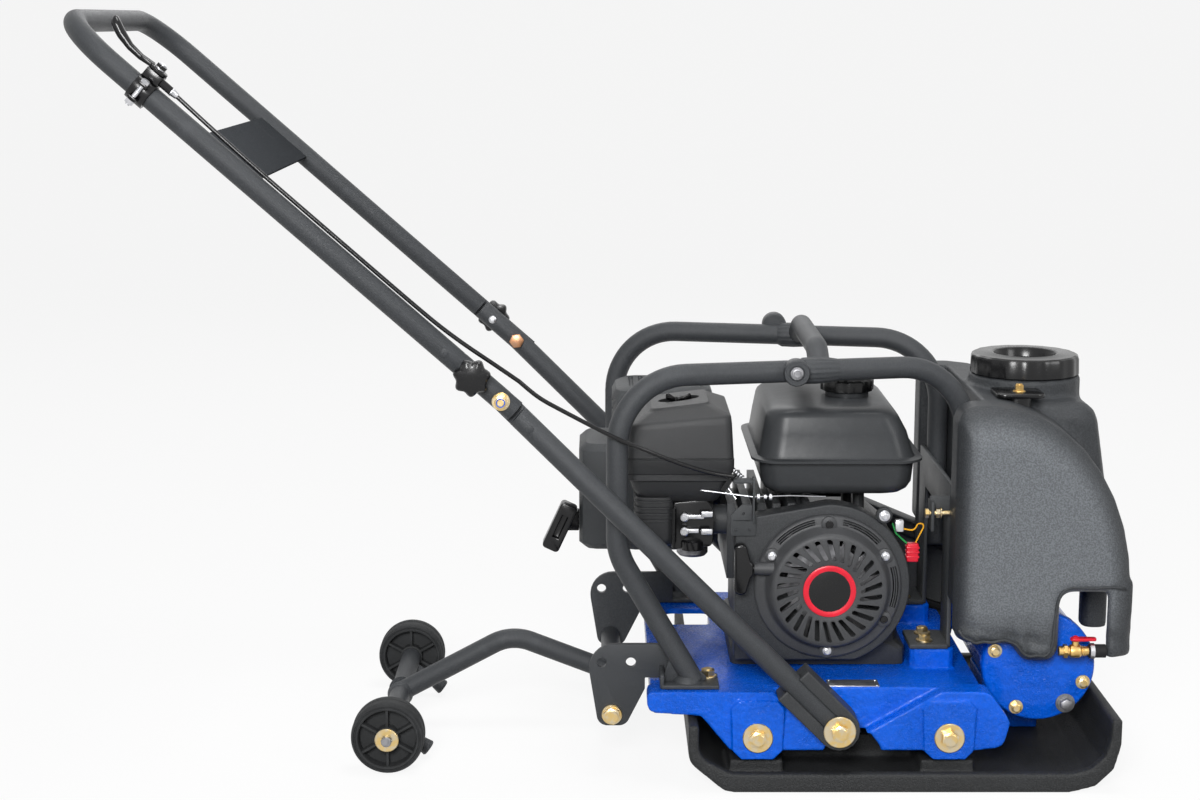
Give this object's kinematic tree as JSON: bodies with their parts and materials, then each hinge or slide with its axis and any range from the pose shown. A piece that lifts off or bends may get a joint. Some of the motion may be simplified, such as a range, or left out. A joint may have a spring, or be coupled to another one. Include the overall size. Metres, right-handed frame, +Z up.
{
  "type": "plate compactor",
  "caption": "Walk-behind plate compactor with a folding tube handle, a petrol engine in a tube cage, a belt-driven exciter, a front water tank and a swing-down wheel set.",
  "frame": {"origin": "middle of the flat sole of the base plate", "axes": "+X forward to the water tank, +Y to the machine's left, +Z up"},
  "size_m": [1.2097, 0.502, 0.8819],
  "materials": {
    "black_paint": "satin textured",
    "blue_paint": "gloss over cast metal",
    "cast_black": "painted casting",
    "black_plastic": "fine grain",
    "gloss_plastic": "gloss",
    "rubber": "matt",
    "steel": "machined",
    "yellow_zinc": "yellow zinc plated",
    "brass": "satin",
    "red_plastic": "gloss"
  },
  "bodies": {
    "chassis": {"base_plate": "cast_black", "engine_block": "cast_black", "exciter_housing": "blue_paint", "exciter_cover_right": "blue_paint", "exciter_cover_left": "blue_paint", "console": "blue_paint", "bearing_right": "steel", "bearing_left": "steel", "carburettor": "steel", "control_bracket": "steel", "drive_belt": "rubber", "rubber_mount_right_rear": "rubber", "rubber_mount_right_front": "rubber", "rubber_mount_left_rear": "rubber", "rubber_mount_left_front": "rubber", "throttle_cable_lower": "rubber", "water_hose": "rubber", "belt_guard": "black_paint", "fan_shroud": "black_paint", "fuel_tank": "black_paint", "muffler": "black_paint", "arm_catch": "black_paint", "cage_right": "black_paint", "cage_left": "black_paint", "lifting_bar": "black_paint", "tank_bracket": "black_paint", "recoil_cover": "gloss_plastic", "air_cleaner_cover": "black_plastic", "air_cleaner_base": "black_plastic", "water_tank": "black_plastic", "hitch_bolt": "yellow_zinc", "pivot_bolt_right": "yellow_zinc", "pivot_bolt_left": "yellow_zinc", "water_valve": "brass"},
    "handle_lower": {"leg_right": "black_paint", "leg_left": "black_paint", "foot_block_right": "black_paint", "foot_block_left": "black_paint", "fold_bolt_right": "yellow_zinc", "fold_bolt_left": "yellow_zinc"},
    "handle_upper": {"handle_loop": "black_paint", "throttle_clamp": "cast_black", "throttle_cable_upper": "rubber"},
    "throttle_lever": {"throttle_lever": "black_plastic"},
    "knob_right": {"knob_right": "gloss_plastic"},
    "knob_left": {"knob_left": "gloss_plastic"},
    "wheel_arm": {"wheel_arm": "black_paint"},
    "wheel_right": {"wheel_right": "black_plastic"},
    "wheel_left": {"wheel_left": "black_plastic"},
    "recoil_handle": {"recoil_handle": "black_plastic"},
    "fuel_cap": {"fuel_cap": "gloss_plastic"},
    "water_cap": {"water_cap": "black_plastic"},
    "valve_lever": {"valve_lever": "red_plastic"},
    "crank": {"crankshaft": "steel", "flywheel_fan": "cast_black", "clutch_drum": "steel"},
    "exciter_rotor": {"eccentric_shaft": "steel", "exciter_pulley": "steel"}
  },
  "joints": [
    {"name": "handle_tilt", "type": "hinge", "parent": "chassis", "child": "handle_lower", "pos_m": [-0.075, 0, 0.073], "axis": [0, 1, 0], "range_deg": [0, 105], "deforming": ["throttle_cable_lower"]},
    {"name": "handle_fold", "type": "hinge", "parent": "handle_lower", "child": "handle_upper", "pos_m": [-0.45754, 0, 0.45554], "axis": [0, 1, 0], "range_deg": [0, 118], "deforming": ["throttle_cable_upper"]},
    {"name": "throttle_turn", "type": "hinge", "parent": "handle_upper", "child": "throttle_lever", "pos_m": [-0.8431, -0.222, 0.79546], "axis": [-0.6613, 0, -0.7501], "range_deg": [0, 60]},
    {"name": "knob_right_turn", "type": "hinge", "parent": "handle_upper", "child": "knob_right", "pos_m": [-0.48905, -0.222, 0.48332], "axis": [0, 1, 0], "continuous": true},
    {"name": "knob_left_turn", "type": "hinge", "parent": "handle_upper", "child": "knob_left", "pos_m": [-0.48905, 0.222, 0.48332], "axis": [0, 1, 0], "continuous": true},
    {"name": "wheel_arm_swing", "type": "hinge", "parent": "chassis", "child": "wheel_arm", "pos_m": [-0.334, 0, 0.07], "axis": [0, 1, 0], "range_deg": [0, 70]},
    {"name": "wheel_right_turn", "type": "hinge", "parent": "wheel_arm", "child": "wheel_right", "pos_m": [-0.597, -0.16, 0.0435], "axis": [0, 1, 0], "continuous": true},
    {"name": "wheel_left_turn", "type": "hinge", "parent": "wheel_arm", "child": "wheel_left", "pos_m": [-0.597, 0.16, 0.0435], "axis": [0, 1, 0], "continuous": true},
    {"name": "recoil_pull", "type": "slide", "parent": "chassis", "child": "recoil_handle", "axis": [-1, 0, 0], "range_m": [0, 0.08], "stiffness_N_per_m": 80, "springref_m": -0.03},
    {"name": "fuel_cap_turn", "type": "hinge", "parent": "chassis", "child": "fuel_cap", "pos_m": [-0.052, -0.04, 0.4343], "axis": [0, 0, 1], "continuous": true},
    {"name": "water_cap_turn", "type": "hinge", "parent": "chassis", "child": "water_cap", "pos_m": [0.168, 0, 0.4563], "axis": [0, 0, 1], "continuous": true},
    {"name": "valve_turn", "type": "hinge", "parent": "chassis", "child": "valve_lever", "pos_m": [0.2033, -0.1735, 0.162], "axis": [0, 0, -1], "range_deg": [0, 90]},
    {"name": "crank_turn", "type": "hinge", "parent": "chassis", "child": "crank", "pos_m": [-0.082, 0, 0.219], "axis": [0, 1, 0], "continuous": true},
    {"name": "exciter_turn", "type": "hinge", "parent": "chassis", "child": "exciter_rotor", "pos_m": [0.167, 0, 0.124], "axis": [0, 1, 0], "continuous": true}
  ],
  "couplings": [
    {"joint": "exciter_turn", "follows": "crank_turn", "ratio": 1.2903}
  ]
}
